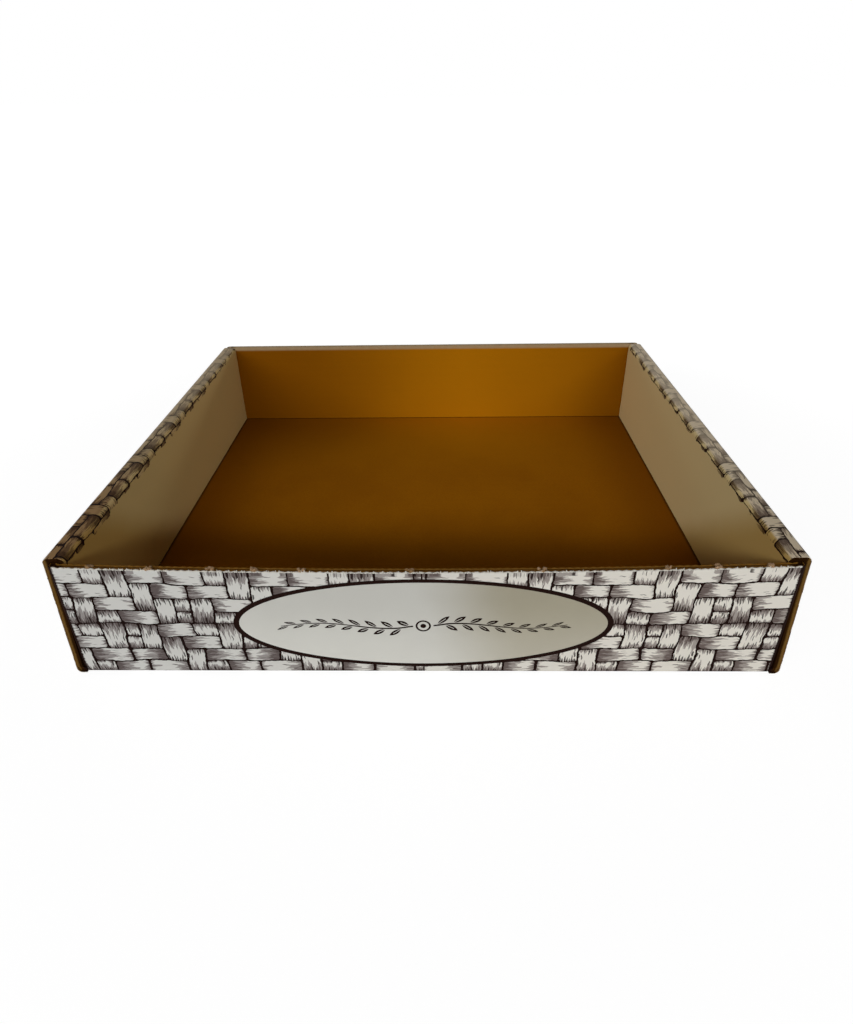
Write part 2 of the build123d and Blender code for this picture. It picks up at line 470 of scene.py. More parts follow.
def sprig_ink(recipe, across, up):
    """A plain leafy sprig in the middle of the oval panel: 1 where there is ink."""
    reach = abs(across)
    wave = recipe.math("SINE", across / 9.5) * 1.5
    rise = up - wave * recipe.step(reach, 0.0, 12.0)
    # Thinner and smaller towards its tips
    scale = recipe.step(reach, SPRIG_END + 4.0, 4.0) * 0.55 + 0.45
    stem = (abs(rise) < scale * STEM_HALF) * (reach < SPRIG_END) * (reach > SPRIG_START)
    # The leaves above the stem are half a pitch on from those below
    shifted = reach + recipe.math("SIGN", rise) * (LEAF_PITCH / 4)
    local = (shifted % LEAF_PITCH) - LEAF_PITCH / 2
    height = abs(rise) / scale - LEAF_MIDDLE
    run = local * math.cos(LEAF_TILT) + height * math.sin(LEAF_TILT)
    lift = abs(height * math.cos(LEAF_TILT) - local * math.sin(LEAF_TILT))
    blade = lift < (1.0 - (run / LEAF_LENGTH) ** 2.0) * LEAF_WIDTH
    not_vein = recipe.most(lift > VEIN_HALF, run > VEIN_END)
    leaf = blade * not_vein * (abs(run) < LEAF_LENGTH)
    leaf = leaf * (shifted < SPRIG_END + 1.0) * (shifted > LEAF_PITCH)
    from_middle = recipe.length(reach, up)
    ring = abs(from_middle - RING_RADIUS) < STEM_HALF
    return recipe.most(stem, leaf, ring, from_middle < BUD_RADIUS)


# How far off a wall, a ply or the floor a place may be, in millimetres, and still count as in it
SLACK = 0.15
PLY_SLACK = 0.12
FLOOR_SLACK = 0.1

# How deep the white, the front wall's white and raw top, and the brown reach, in millimetres
WHITE_SKIN = 0.2
FRONT_SKIN = 0.5
BROWN_SKIN = 0.25

# The front's weave is printed in two halves, which meet behind the oval and widen to the top.
LEFT_HALF_SHIFT = 56.1
RIGHT_HALF_SHIFT = -17.4
HALF_SEAM = 0.3
SIDE_SHIFT = 11.0
PRINT_TOP = 55.0
PRINT_TAPER = 0.00026
TOP_ROW_INSET = 2.2


class Sheet:
    """Where a place lies on the folded sheet, in millimetres."""

    def __init__(self, recipe, size):
        self.recipe = recipe
        self.size = size
        self.spot = recipe.place()
        self.x, self.y, self.z = recipe.part(self.spot)
        self.wide = abs(self.x)
        self.is_left = self.x < 0.0
        self.side_sign = recipe.math("SIGN", self.x)
        self.find_walls()
        self.find_faces()
        self.find_print()
        self.find_grain()

    def rounded(self, fold, first, second):
        """The depth below two outside faces that meet in a round fold."""
        recipe = self.recipe
        short = [recipe.most(fold - depth, 0.0) for depth in (first, second)]
        nearest = recipe.least(first, second)
        return fold - recipe.length(*short) + recipe.most(nearest - fold, 0.0)

    def upright(self, face_depth):
        """The depth in the front or back wall, with all of its folds."""
        return self.recipe.least(
            self.rounded(self.size.floor_fold, face_depth, self.z),
            self.rounded(self.size.corner_fold, face_depth, self.corner_depth),
        )

    def find_walls(self):
        """How far a place is from the outside of each wall, and which wall it is in."""
        recipe, size = self.recipe, self.size
        bow = (self.wide / size.flap_face) ** 2.0 - 1.0
        climb = recipe.least(recipe.most((self.z - size.wall_start) / size.wall_rise, 0.0), 1.0)
        self.front_depth = self.y - size.front_plane - bow * size.front_bulge * climb
        self.back_depth = BACK_PLANE - self.y
        self.outer_depth = HALF_WIDTH - self.wide
        self.inner_depth = self.wide - (HALF_WIDTH - size.wall)
        self.top_depth = HEIGHT - self.z
        self.corner_depth = size.flap_face - self.wide
        inside_plies = self.wide < HALF_WIDTH - size.board - SLACK
        near_front = (self.front_depth < size.board + SLACK) * inside_plies
        self.in_front = near_front * (self.z < size.front_top + 2 * SLACK)
        self.in_back = (self.back_depth < size.board + SLACK) * inside_plies
        self.on_wall = recipe.most(self.in_front, self.in_back)

    def find_faces(self):
        """Tells the white outside, the brown inside and the raw edge apart by their depth."""
        recipe, size = self.recipe, self.size
        above_floor = self.z > size.board + FLOOR_SLACK
        self.inner_ply = (self.inner_depth > -PLY_SLACK) * above_floor
        ply_depth = recipe.mix(self.inner_ply, FAR, self.inner_depth)
        side_depth = recipe.least(
            self.rounded(size.roll_fold, self.outer_depth, self.top_depth),
            self.rounded(size.inner_fold, self.top_depth, ply_depth),
            self.rounded(size.floor_fold, self.outer_depth, self.z),
        )
        depth = recipe.mix(self.in_front, side_depth, self.upright(self.front_depth))
        depth = recipe.mix(self.in_back, depth, self.upright(self.back_depth))
        self.is_white = depth < recipe.mix(self.in_front, WHITE_SKIN, FRONT_SKIN)
        brown = size.board - BROWN_SKIN
        # Between the plies the hidden brown takes the raw edge's dark colour, as painted shade
        between_plies = (self.outer_depth > brown) * (self.inner_depth > brown) * above_floor
        self.top_edge = self.in_front * (self.z > size.front_top - FRONT_SKIN)
        raw_edge_and_painted_shade = recipe.most(between_plies * (1.0 - self.in_back), self.top_edge)
        self.is_brown = (depth > brown) * (1.0 - raw_edge_and_painted_shade)

    def find_print(self):
        """Where a place lies on the flat printed sheet, across the weave and up it."""
        recipe, size = self.recipe, self.size
        fold_sign = recipe.mix(self.outer_depth > size.wall / 2, -1.0, 1.0)
        self.side_up = self.outer_depth + HEIGHT + self.top_depth * fold_sign
        shift = recipe.mix(self.x > 0.0, LEFT_HALF_SHIFT, RIGHT_HALF_SHIFT)
        front_across = self.x * (1.0 + (PRINT_TOP - self.z) * PRINT_TAPER) + shift
        across = recipe.mix(self.in_front, self.y * self.side_sign + SIDE_SHIFT, front_across)
        self.across = recipe.mix(self.in_back, across, -self.x)
        # The top row is drawn on to the cut edge, and the back wall is the taller one
        wall_up = recipe.least(self.z - self.in_back * size.front_drop, size.front_top - TOP_ROW_INSET)
        self.up = recipe.mix(self.on_wall, self.side_up, wall_up)

    def find_grain(self):
        """The paper's grain and relief, and the painted shadow that the front wall casts behind it on the
        inner plies.
        """
        recipe, size = self.recipe, self.size
        self.fibre = recipe.noise(recipe.vector("MULTIPLY", self.spot, (0.7, 2.6, 2.6)), 1.0, 3.0, 0.65)
        self.cloud = recipe.noise(self.spot, 0.018, 3.0, 0.55)
        self.fine = recipe.noise(self.spot, 3.2, 2.0, 0.6)
        wave = 2 * math.pi / size.flute_pitch
        self.floor_flute = recipe.math("SINE", self.y * wave)
        self.wall_flute = recipe.math("SINE", self.z * wave)
        self.white_relief = self.wall_flute * 0.02 + self.fine * 0.012
        # Painted shadow of the front wall: a wedge on the inner plies near the front
        from_front = self.y - size.front_plane + self.z * 1.35 + (self.cloud - 0.5) * 10.0
        self.painted_front_shadow = recipe.step(from_front, 136.0, 102.0)


# The middle of the painted light on the brown liner, to the right of the tray's middle, in millimetres
PAINTED_LIGHT_PLACE = 27.0


def brown_shader(sheet, paper):
    """The bare brown liner of the tray's inside."""
    recipe, size, in_back = sheet.recipe, sheet.size, sheet.in_back
    tint = recipe.paint(recipe.step(sheet.fibre, 0.3, 0.75) * 0.45, paper.kraft, paper.kraft_dark)
    tint = recipe.paint(recipe.step(sheet.cloud, 0.35, 0.7) * 0.3, tint, paper.kraft_dark)
    # Painted light: brightest at the back, a little to the right of the middle, and painted shade away
    # from there
    is_floor = sheet.z < size.board + 2 * FLOOR_SLACK
    far = recipe.most(in_back, is_floor * recipe.step(sheet.y, 30.0, 130.0))
    tint = recipe.paint(far * 0.8, tint, paper.kraft_painted_light)
    from_painted_light = recipe.most((sheet.x - PAINTED_LIGHT_PLACE) * 0.7, PAINTED_LIGHT_PLACE - sheet.x)
    from_painted_light = from_painted_light + (sheet.cloud - 0.5) * 12.0
    tint = recipe.blend(far * recipe.step(from_painted_light, -15.0, 140.0), tint, paper.kraft_painted_shade)
    # Painted shade: darker towards the side walls, and most at the foot of the back wall
    from_side = sheet.corner_depth + (sheet.z - 14.0) * 0.35 * in_back
    wear_and_painted_light = recipe.step(from_side + (sheet.cloud - 0.5) * 24.0, 58.0, 4.0)
    tint = recipe.paint(wear_and_painted_light * (0.5 - in_back * 0.2), tint, paper.wear_and_painted_light)
    # Painted shade: a dark line along the foot of the walls
    from_wall = recipe.least(-sheet.inner_depth, sheet.back_depth - size.board)
    painted_foot_shade = recipe.step(from_wall + (sheet.fine - 0.5) * 0.8, 2.0, 0.3)
    tint = recipe.paint(is_floor * painted_foot_shade * 0.7, tint, paper.cut)
    # The pale crushed rim of the back wall
    patchy = recipe.noise(recipe.vector("MULTIPLY", sheet.spot, (0.25, 1.0, 0.25)), 1.0, 2.0)
    rim = in_back * recipe.step(sheet.z, HEIGHT - 3.4, HEIGHT - 1.6)
    tint = recipe.paint(rim * (patchy * 0.5 + 0.6), tint, paper.crushed)
    flute = recipe.mix(is_floor, sheet.wall_flute, sheet.floor_flute)
    return recipe.paper(tint, paper.roughness + 0.05, flute * 0.035 + sheet.fibre * 0.05, 0.6)


def raw_shader(sheet, paper):
    """The raw edge: lighter outwards, and as the core along the top of the front wall."""
    recipe, fine = sheet.recipe, sheet.fine
    inward = recipe.step(sheet.outer_depth + (fine - 0.5) * 0.7, 1.0, 2.0)
    tint = recipe.paint(inward, paper.cut_light, paper.cut)
    tint = recipe.paint(sheet.top_edge, tint, paper.core)
    tint = recipe.paint(recipe.step(fine, 0.5, 0.75) * 0.4, tint, paper.cut)
    tint = recipe.paint(sheet.in_back * (sheet.z > HEIGHT - 1.2), tint, paper.crushed)
    return recipe.paper(tint, 0.9, fine * 0.25, 0.8)


def plain_shader(sheet, paper):
    """The white liner without print, with painted warm light and painted shadow on the inner plies."""
    recipe = sheet.recipe
    tint = recipe.paint(recipe.step(sheet.cloud, 0.4, 0.75) * 0.08, paper.white, paper.crushed)
    tint = recipe.paint(recipe.step(sheet.fine, 0.5, 0.8) * 0.05, tint, paper.kraft)
    # Painted warm light on the bare inner plies, and the front wall's painted shadow
    bare = recipe.paint(sheet.is_left, paper.right_ply_painted_light, paper.left_ply_painted_light)
    bare = recipe.blend(sheet.painted_front_shadow, bare, paper.ply_painted_shadow)
    tint = recipe.paint(sheet.inner_ply * (1.0 - sheet.on_wall), tint, bare)
    return recipe.paper(tint, paper.roughness, sheet.white_relief, 0.5)


def oval_panel(sheet, tone, prints):
    """Lays the front wall's oval panel over the weave, with its ring and its sprig."""
    recipe, x, z, cloud = sheet.recipe, sheet.x, sheet.z, sheet.cloud
    half_width = prints.oval_width * MM / 2
    half_height = prints.oval_height * MM / 2
    up = z - prints.oval_place * MM
    oval_x = (x + 0.2) / half_width
    oval_z = up / half_height
    slope = recipe.length(oval_x / half_width, oval_z / half_height) * 2.0 + 0.0001
    from_oval = (oval_x ** 2.0 + oval_z ** 2.0 - 1.0) / slope
    # The ring is broader at its two ends
    ring_width = (1.0 + oval_x ** 2.0 * 0.32) * (prints.oval_line * MM)
    panel = recipe.paint(recipe.step(cloud, 0.3, 0.8) * 0.12, prints.panel, prints.shade)
    # Browned on the right, most at the top, and greyer upwards
    stain = recipe.step(x + (cloud - 0.5) * 16.0 + z * 0.12, 0.0, 50.0)
    stain = stain * (recipe.step(z, 4.0, 48.0) * 0.3 + 0.72)
    panel = recipe.blend(stain, panel, prints.panel_stain)
    panel = recipe.blend(recipe.step(z, 12.0, 52.0), panel, prints.panel_top)
    panel = recipe.paint(sprig_ink(recipe, x - 0.2, up + 0.6), panel, prints.ink)
    tone = recipe.paint((from_oval < 0.0) * sheet.in_front, tone, prints.ink)
    return recipe.paint((from_oval + ring_width < 0.0) * sheet.in_front, tone, panel)


def roll_print_wear_and_painted_light(sheet, tone, paper, prints):
    """Tints the print where the liner is rolled over with painted light and shade, and rubs it paler
    towards the back, partly as painted light.
    """
    recipe, is_left = sheet.recipe, sheet.is_left
    ply_start = HEIGHT + sheet.size.wall
    on_roll = recipe.step(sheet.side_up, HEIGHT + 0.2, HEIGHT + 2.2) * (1.0 - sheet.on_wall)
    on_ply = recipe.step(sheet.side_up, ply_start - 1.2, ply_start + 0.6)
    # Painted light and shade of the rolled tops, and painted warm light on the print down the plies
    roll_painted_light = recipe.paint(is_left, paper.right_roll_painted_light, paper.left_roll_painted_shade)
    roll_painted_light = recipe.blend(is_left * recipe.step(sheet.y, 0.0, -110.0), roll_painted_light, paper.left_roll_front_painted_shade)
    ply = recipe.paint(is_left, paper.right_print_painted_light, paper.left_print_painted_light)
    ply = recipe.blend(sheet.painted_front_shadow, ply, paper.ply_painted_shadow)
    tone = recipe.blend(on_roll, tone, recipe.paint(on_ply, roll_painted_light, ply))
    # Worn paler most along the outer fold, and paler sooner on the right side as painted light
    pale = recipe.paint(is_left, prints.pale_right, prints.pale_left)
    from_front = sheet.y - sheet.size.front_plane + (sheet.fine - 0.5) * 20.0
    rubbed_left = recipe.step(from_front, 70.0, 260.0) * 0.5
    right_wear_and_painted_light = recipe.step(from_front, 0.0, 180.0) * 0.5
    wear_and_painted_light = recipe.mix(is_left, right_wear_and_painted_light, rubbed_left)
    outer_rub = recipe.step(sheet.outer_depth + (sheet.cloud - 0.5) * 3.0, 5.0, 2.4)
    outer_rub = outer_rub * recipe.step(from_front, 60.0, 170.0) * 0.85
    return recipe.paint(on_roll * recipe.most(wear_and_painted_light, outer_rub) * (1.0 - on_ply), tone, pale)


def printed_shader(sheet, tone, paper, prints):
    """The printed white liner, with the panel, the wear and a painted shade along the folds over the
    weave.
    """
    recipe, fine, in_front = sheet.recipe, sheet.fine, sheet.in_front
    tone = recipe.blend(in_front * recipe.step(sheet.x, 110.0, -130.0), tone, prints.cool)
    tone = recipe.paint(in_front * (sheet.wide < HALF_SEAM), tone, prints.ink)
    tone = oval_panel(sheet, tone, prints)
    tone = recipe.paint(recipe.step(fine, 0.45, 0.8) * 0.012, tone, paper.white)
    tone = roll_print_wear_and_painted_light(sheet, tone, paper, prints)
    # The print is frayed off along the cut edge
    frayed = recipe.noise(recipe.join(sheet.x * 1.3, 0.0, 0.0), 1.0, 2.0, 0.6)
    rim_low = sheet.size.front_top - 0.55 + (frayed - 0.5) * 1.7
    tone = recipe.paint((sheet.z > rim_low) * in_front, tone, paper.white)
    # Painted shade: dark along the upright folds, where the gap beside the side walls' ends is in shadow
    ragged = recipe.noise(recipe.join(sheet.side_sign * 9.0, 0.0, sheet.z * 1.1), 1.0, 2.0, 0.6)
    into_fold_shade = 2.4 - sheet.corner_depth + (fine - 0.5) * 0.6 + (ragged - 0.5) * 1.6
    tone = recipe.paint(recipe.step(into_fold_shade, 0.0, 0.7) * in_front, tone, prints.ink)
    return recipe.paper(tone, paper.roughness - 0.06, sheet.white_relief, 0.5)


def print_reach(sheet, luck, prints):
    """1 where there is print: not on the underside, and only a little way down the inner plies."""
    recipe, is_left = sheet.recipe, sheet.is_left
    bleed = recipe.mix(is_left, prints.right_bleed * MM, prints.left_bleed * MM)
    uneven = recipe.noise(recipe.join(sheet.across, sheet.side_sign * 40.0, 0.0), 0.22, 2.0)
    limit = bleed + HEIGHT + sheet.size.wall + (luck - 0.5) * 2.6 + (uneven - 0.5) * 3.0
    towards_back = recipe.step(sheet.y, 20.0, 150.0) * recipe.mix(is_left, 0.6, 3.2)
    return (sheet.up < limit - towards_back) * (sheet.z > 0.35)


def board_material():
    """The whole sheet: printed white outside, brown inside, raw brown where it is cut."""
    paper = bpy.context.scene.tray_paper
    prints = bpy.context.scene.tray_print
    recipe = Recipe(bpy.data.materials.new("corrugated_board"))
    sheet = Sheet(recipe, Sizes())
    tone, luck = weave_colour(recipe, sheet.across, sheet.up, prints)
    printed = printed_shader(sheet, tone, paper, prints)
    white = recipe.either(print_reach(sheet, luck, prints), plain_shader(sheet, paper), printed)
    brown = recipe.either(sheet.is_brown, raw_shader(sheet, paper), brown_shader(sheet, paper))
    return recipe.finish(recipe.either(sheet.is_white, brown, white))


def fibre_material(name, light, dark, trim=None):
    """Torn or fluted paper, to which a trim function may add other colours."""
    recipe = Recipe(bpy.data.materials.new(name))
    spot = recipe.place()
    grain = recipe.noise(spot, 2.4, 3.0, 0.7)
    patch = recipe.noise(spot, 0.11, 2.0, 0.5)
    tint = recipe.paint(recipe.step(grain, 0.3, 0.75), light, dark)
    tint = recipe.paint(recipe.step(patch, 0.45, 0.62) * 0.7, tint, dark)
    if trim is not None:
        tint = trim(recipe, spot, grain, tint)
    return recipe.finish(recipe.paper(tint, 0.92, grain * 0.2, 0.7))


def core_trim(recipe, spot, grain, tint):
    """The core's colours along the back wall and at the side walls' ends."""
    paper = bpy.context.scene.tray_paper
    x, y, _ = recipe.part(spot)
    outer_depth = HALF_WIDTH - abs(x)
    tint = recipe.paint(y > 0.0, tint, paper.crushed)
    inward = recipe.step(outer_depth + (grain - 0.5) * 0.9, 1.0, 1.9)
    at_end = recipe.paint(inward, paper.cut_light, paper.cut)
    return recipe.paint(recipe.step(outer_depth, 11.0, 8.0), tint, at_end)


def keep_piece(name, mesh_data, material, paper_thickness=0.0):
    """Turns a bmesh into a finished piece on the tray, with a thickness in millimetres."""
    old = bpy.data.objects.get(name)
    if old is not None:
        bpy.data.objects.remove(old, do_unlink=True)
    mesh = bpy.data.meshes.new(name)
    mesh_data.to_mesh(mesh)
    mesh_data.free()
    piece = bpy.data.objects.new(name, mesh)
    bpy.context.scene.collection.objects.link(piece)
    piece.data.materials.append(material)
    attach(piece, "root")
    if paper_thickness:
        shell = piece.modifiers.new("paper", "SOLIDIFY")
        shell.thickness = paper_thickness / MM
        shell.offset = 0.0
    return piece


def share_of(value, low, high):
    """How far a value lies from low to high, from 0 to 1."""
    return min(max((value - low) / (high - low), 0.0), 1.0)


def spread(low, high, steps):
    """Evenly spaced values from low to high."""
    return [low + (high - low) * number / steps for number in range(steps + 1)]


def front_line(size, across, height):
    """The outside of the front wall at a place across it and a height, in millimetres."""
    climb = share_of(height, size.wall_start, size.front_top)
    lean = size.front_bulge * ((across / size.flap_face) ** 2 - 1)
    return size.front_plane + lean * climb


# The fluted core's ribbons, in millimetres
CORE_FILL = 0.96
CORE_LOW = 3.2
CORE_BEND = 1.0
CORE_TOP_END = 2.5
CORE_PAPER = 0.14
CORE_STEPS_ACROSS = 4
UPRIGHT_STEPS = 90
BEND_STEPS = 8
ROLL_STEPS = 6
TOP_STEPS = 300


def ribbon(target, size, path, outward, dice):
    """A thin wavy ribbon in an open channel: its path gives its middle and its side at each step."""
    width = (size.board - 2 * size.liner) * CORE_FILL
    steps = len(path) - 1
    made = bmesh.ops.create_grid(target, x_segments=steps, y_segments=CORE_STEPS_ACROSS, size=1.0)
    phase = dice.uniform(0, 6)
    for vert in made["verts"]:
        number = round((vert.co.x + 1) / 2 * steps)
        share = (vert.co.y + 1) / 2
        middle, side = path[number]
        wave = 0.1 * math.sin(number * 0.37 + phase) + 0.06 * math.sin(number * 1.3 + 2 * phase)
        ragged = dice.uniform(-0.05, 0.05)
        slant = 0.5 - 0.5 * math.cos(math.pi * share)
        sink = size.recess * (0.98 - 0.72 * slant) + (wave + ragged) * share
        vert.co = (middle + side * ((share - 0.5) * width) - outward * sink) / MM


def side_end_path(size, side, plane, out):
    """The middle of the channel in a side wall's cut end: up the outer ply and over the roll."""
    outer_mid = HALF_WIDTH - size.board / 2
    top_mid = HEIGHT - size.board / 2
    roll_end = HALF_WIDTH - 2 * size.board - 2 * size.ply_gap
    end_back = size.board + size.end_gap
    bend_x = outer_mid - CORE_BEND
    bend_z = top_mid - CORE_BEND
    end = plane - out * end_back
    path = []
    for height in spread(CORE_LOW, bend_z, UPRIGHT_STEPS):
        climb = share_of(height, size.wall_start, HEIGHT - size.board)
        spot = Vector((side * outer_mid, plane - out * end_back * climb, height))
        path.append((spot, Vector((side, 0, 0))))
    for angle in spread(0.0, math.pi / 2, BEND_STEPS)[1:]:
        across = bend_x + CORE_BEND * math.cos(angle)
        height = bend_z + CORE_BEND * math.sin(angle)
        normal = Vector((side * math.cos(angle), 0, math.sin(angle)))
        path.append((Vector((side * across, end, height)), normal))
    for across in spread(bend_x, roll_end, ROLL_STEPS)[1:]:
        path.append((Vector((side * across, end, top_mid)), Vector((0, 0, 1))))
    return path


def wall_top_path(size, depth_at, height, out):
    """The middle of the channel along the top of the front or back wall."""
    reach = size.flap_face - CORE_TOP_END
    places = spread(-reach, reach, TOP_STEPS)
    return [(Vector((place, depth_at(place), height)), Vector((0, out, 0))) for place in places]


def sliver(target, root, up, side, length, width, dice):
    """One torn paper point: a narrow flake that thins out and bends."""
    made = bmesh.ops.create_grid(target, x_segments=1, y_segments=3, size=1.0)
    bend = dice.uniform(-0.35, 0.35)
    twist = dice.uniform(-0.5, 0.5)
    normal = up.cross(side)
    for vert in made["verts"]:
        share = (vert.co.y + 1) / 2
        half_width = vert.co.x * width / 2 * (1 - 0.82 * share ** 1.4)
        curl = bend * length * share ** 2 + twist * half_width * share
        vert.co = (root + up * (share * length) + side * half_width + normal * curl) / MM


def lump(target, middle, long, deep, high, dice):
    """One soft lump of torn paper, given in millimetres."""
    made = bmesh.ops.create_icosphere(target, subdivisions=2, radius=1.0)
    lean = dice.uniform(-0.5, 0.5)
    for vert in made["verts"]:
        x, y, z = vert.co * dice.uniform(0.8, 1.16)
        vert.co = (middle + Vector((x * long + z * lean, y * deep, z * high))) / MM


class TRAYBOX_OT_board_finish(bpy.types.Operator):
    """Give the folded sheet its printed, brown and raw finishes"""

    bl_idname = "traybox.board_finish"
    bl_label = "Board finish"
    bl_options = {"REGISTER", "UNDO"}

    def execute(self, context):
        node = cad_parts["tray"]
        node.data.materials.clear()
        node.data.materials.append(board_material())
        return {"FINISHED"}


class TRAYBOX_OT_fluted_core(bpy.types.Operator):
    """Lay the fluted core into the open channels of the cut edges"""

    bl_idname = "traybox.fluted_core"
    bl_label = "Fluted core"
    bl_options = {"REGISTER", "UNDO"}

    def execute(self, context):
        size = Sizes()
        half_board = size.board / 2
        dice = random.Random(11)
        core = bmesh.new()
        for side in (-1, 1):
            for plane, out in ((size.front_plane, -1), (BACK_PLANE, 1)):
                path = side_end_path(size, side, plane, out)
                ribbon(core, size, path, Vector((0, out, 0)), dice)
        walls = (
            (lambda across: front_line(size, across, size.front_top) + half_board, size.front_top, -1),
            (lambda across: BACK_PLANE - half_board, HEIGHT, 1),
        )
        for depth_at, height, out in walls:
            ribbon(core, size, wall_top_path(size, depth_at, height, out), Vector((0, 0, 1)), dice)
        bmesh.ops.recalc_face_normals(core, faces=core.faces)
        paper = context.scene.tray_paper
        material = fibre_material("fluted_core", paper.core, paper.core_dark, core_trim)
        keep_piece("fluted_core", core, material, CORE_PAPER)
        return {"FINISHED"}


# Where tufts of torn paper stand along the top of the front wall, in millimetres from its middle
TIE_PLACES = (-138.8, -113.9, -87.4, -69.1, -49.6, -4.8, 49.2, 100.6, 121.0, 142.6)
TIE_LUMPS = 5
TIE_SINK = 0.15
BURR_PAPER = 0.08
BURR_SINK = 0.55
BURR_END = 2.4


class TRAYBOX_OT_torn_edge(bpy.types.Operator):
    """Add the small paper points and the torn ties along the top of the front wall"""

    bl_idname = "traybox.torn_edge"
    bl_label = "Torn edge"
    bl_options = {"REGISTER", "UNDO"}

    def execute(self, context):
        size = Sizes()
        edge = context.scene.tray_edge
        paper = context.scene.tray_paper
        top = size.front_top
        dice = random.Random(23)
        reach = HALF_WIDTH - size.board - BURR_END
        burrs = bmesh.new()
        for number in range(edge.burrs):
            across = -reach + 2 * reach * (number + dice.uniform(-0.4, 0.4)) / edge.burrs
            across = min(max(across, -reach), reach)
            out = dice.uniform(0.08, 0.45)
            root = Vector((across, front_line(size, across, top) + out, top - BURR_SINK))
            up = Vector((dice.uniform(-0.5, 0.5), dice.uniform(-0.45, 0.15), 1)).normalized()
            side = Vector((1, dice.uniform(-0.3, 0.3), 0)).normalized()
            length = edge.burr * MM * dice.uniform(0.7, 1.6)
            sliver(burrs, root, up, side, length, dice.uniform(0.35, 0.9), dice)
        white = fibre_material("torn_liner", edge.fibre_white, paper.white)
        keep_piece("torn_liner_points", burrs, white, BURR_PAPER)

        ties = bmesh.new()
        for place in TIE_PLACES:
            for _ in range(TIE_LUMPS):
                across = place + dice.uniform(-1.4, 1.4)
                out = dice.uniform(0.5, size.board - 0.6)
                middle = Vector((across, front_line(size, across, top) + out, top - TIE_SINK))
                high = edge.tie * MM * dice.uniform(0.3, 0.62)
                lump(ties, middle, dice.uniform(0.6, 1.1), dice.uniform(0.4, 0.7), high, dice)
        brown = fibre_material("torn_fibre", edge.fibre, paper.cut_light)
        piece = keep_piece("torn_ties", ties, brown)
        for face in piece.data.polygons:
            face.use_smooth = True
        return {"FINISHED"}


# The lamps and the floor, in metres
LAMP_DISTANCE = 3.2
LAMP_TARGET = Vector((0.0, 0.0, 0.03))
KEY_SIZE = (6.4, 0.42)
KEY_DIRECTION = Vector((0.2, 1.0, -0.5))
FILL_SIZE = (3.6, 0.4)
FILL_DIRECTION = Vector((-0.1, -1.0, -0.16))
FLOOR_HALF = 60.0
FLOOR_GLOW = 1.21

# The camera fitted to the photograph: its place from the front wall's foot in tray widths, its
# turns, and its focal length in pixels
CAMERA_PLACE = (0.02787, -0.71019, 0.70406)
CAMERA_YAW = math.radians(-1.6289)
CAMERA_PITCH = math.radians(31.4449)
CAMERA_ROLL = math.radians(-1.0614)
FOCAL_PIXELS = 681.7
PHOTO_PIXELS = 1024.0
SENSOR = 36.0


def soft_lamp(name, power, lamp_size, direction):
    """A wide, flat lamp that shines along a direction onto the tray."""
    lamp = bpy.data.lights.new(name, "AREA")
    lamp.shape = "RECTANGLE"
    lamp.size, lamp.size_y = lamp_size
    lamp.energy = power
    made = bpy.data.objects.new(name, lamp)
    bpy.context.scene.collection.objects.link(made)
    aim = direction.normalized()
    made.location = LAMP_TARGET - aim * LAMP_DISTANCE
    made.rotation_euler = aim.to_track_quat("-Z", "Y").to_euler()


def add_floor(settings):
    """The plain floor, which looks white and keeps the tray's shadow."""
    ground = bmesh.new()
    bmesh.ops.create_grid(ground, x_segments=1, y_segments=1, size=FLOOR_HALF)
    bmesh.ops.translate(ground, vec=(0.0, 0.0, tray_low.z - settings.floor_gap), verts=ground.verts)
    mesh = bpy.data.meshes.new("floor")
    ground.to_mesh(mesh)
    ground.free()
    floor = bpy.data.objects.new("floor", mesh)
    bpy.context.scene.collection.objects.link(floor)
    recipe = Recipe(bpy.data.materials.new("floor"))
    dull = recipe.node("ShaderNodeBsdfPrincipled", None, {"Base Color": settings.floor, "Roughness": 0.9})
    glow = recipe.node("ShaderNodeEmission", None, {"Color": WHITE, "Strength": FLOOR_GLOW})
    # A little of the dull floor shows near the tray, for its shadow
    away = recipe.vector("LENGTH", recipe.place(), output=1)
    share = recipe.step(away, 250.0, 900.0) * 0.25 + 0.75
    floor.data.materials.append(recipe.finish(recipe.either(recipe.seen() * share, dull, glow)))


def add_room(strength):
    """Even light from all round, which looks white where nothing stands before it."""
    world = bpy.data.worlds.new("room")
    bpy.context.scene.world = world
    recipe = Recipe(world)
    even = recipe.node("ShaderNodeBackground", None, {"Color": WHITE, "Strength": strength})
    plain = recipe.node("ShaderNodeBackground", None, {"Color": WHITE, "Strength": 1.0})
    recipe.finish(recipe.either(recipe.seen(), even, plain), "ShaderNodeOutputWorld")


def add_camera():
    """The camera at the photograph's place and angle."""
    scene = bpy.context.scene
    lens = bpy.data.cameras.new("camera")
    lens.sensor_width = SENSOR
    lens.lens = FOCAL_PIXELS * SENSOR / PHOTO_PIXELS
    lens.clip_start = 0.01
    camera = bpy.data.objects.new("camera", lens)
    scene.collection.objects.link(camera)
    level = Vector((math.cos(CAMERA_YAW), -math.sin(CAMERA_YAW), 0.0))
    ahead = Vector((math.sin(CAMERA_YAW), math.cos(CAMERA_YAW), 0.0))
    look = ahead * math.cos(CAMERA_PITCH) - Vector((0.0, 0.0, math.sin(CAMERA_PITCH)))
    high = level.cross(look)
    right = level * math.cos(CAMERA_ROLL) + high * math.sin(CAMERA_ROLL)
    up = high * math.cos(CAMERA_ROLL) - level * math.sin(CAMERA_ROLL)
    camera.rotation_mode = "QUATERNION"
    camera.rotation_quaternion = Matrix((right, up, -look)).transposed().to_quaternion()
    foot = Vector((0.0, tray_low.y + scene.tray_board.front_bulge, 0.0))
    camera.location = foot + Vector(CAMERA_PLACE) * WIDTH / MM
    scene.camera = camera


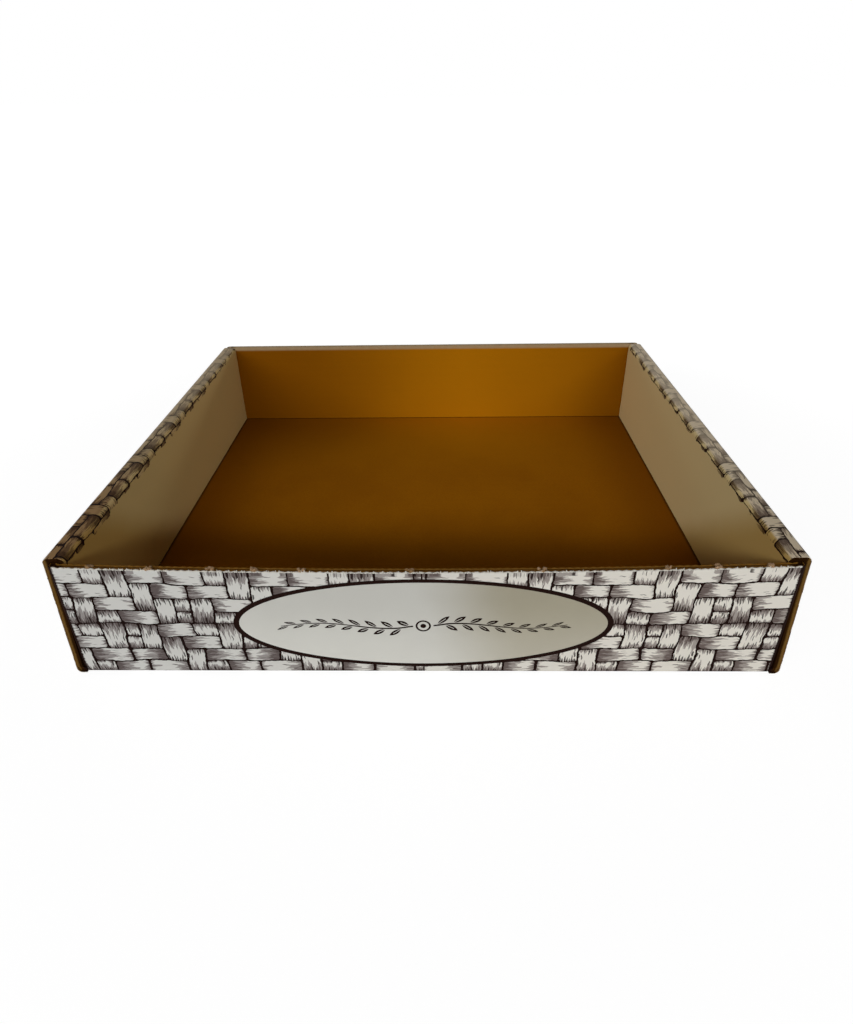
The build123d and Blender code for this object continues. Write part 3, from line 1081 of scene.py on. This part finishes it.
class TRAYBOX_OT_stage(bpy.types.Operator):
    """Set up the floor, the soft light and the camera"""

    bl_idname = "traybox.stage"
    bl_label = "Stage"
    bl_options = {"REGISTER", "UNDO"}

    def execute(self, context):
        settings = context.scene.tray_stage
        context.scene.view_settings.view_transform = "Standard"
        add_floor(settings)
        add_room(settings.room)
        soft_lamp("key_light", settings.key, KEY_SIZE, KEY_DIRECTION)
        soft_lamp("fill_light", settings.fill, FILL_SIZE, FILL_DIRECTION)
        add_camera()
        return {"FINISHED"}


# The panel's boxes: heading, name on the scene, settings and buttons
GROUPS = (
    ("Board", "tray_board", TRAYBOX_PG_board, ("traybox.board_finish", "traybox.fluted_core")),
    ("Paper", "tray_paper", TRAYBOX_PG_paper, ()),
    ("Print", "tray_print", TRAYBOX_PG_print, ()),
    ("Edges", "tray_edge", TRAYBOX_PG_edge, ("traybox.torn_edge",)),
    ("Stage", "tray_stage", TRAYBOX_PG_stage, ("traybox.stage",)),
)


class TRAYBOX_PT_panel(bpy.types.Panel):
    """Sidebar panel of the tray box"""

    bl_label = "Tray box"
    bl_idname = "TRAYBOX_PT_panel"
    bl_space_type = "VIEW_3D"
    bl_region_type = "UI"
    bl_category = "Tray box"

    def draw(self, context):
        for label, pointer, group, buttons in GROUPS:
            box = self.layout.box()
            box.label(text=label)
            for name in group.__annotations__:
                box.prop(getattr(context.scene, pointer), name)
            for button in buttons:
                box.operator(button)


CLASSES = (
    *[group for _, _, group, _ in GROUPS],
    TRAYBOX_OT_board_finish,
    TRAYBOX_OT_fluted_core,
    TRAYBOX_OT_torn_edge,
    TRAYBOX_OT_stage,
    TRAYBOX_PT_panel,
)


def register():
    for item in CLASSES:
        bpy.utils.register_class(item)
    for _, pointer, group, _ in GROUPS:
        setattr(bpy.types.Scene, pointer, PointerProperty(type=group))


def unregister():
    for _, pointer, _, _ in GROUPS:
        delattr(bpy.types.Scene, pointer)
    for item in reversed(CLASSES):
        bpy.utils.unregister_class(item)


def main():
    register()
    bpy.ops.traybox.board_finish()
    bpy.ops.traybox.fluted_core()
    bpy.ops.traybox.torn_edge()
    bpy.ops.traybox.stage()


if __name__ == "__main__":
    main()
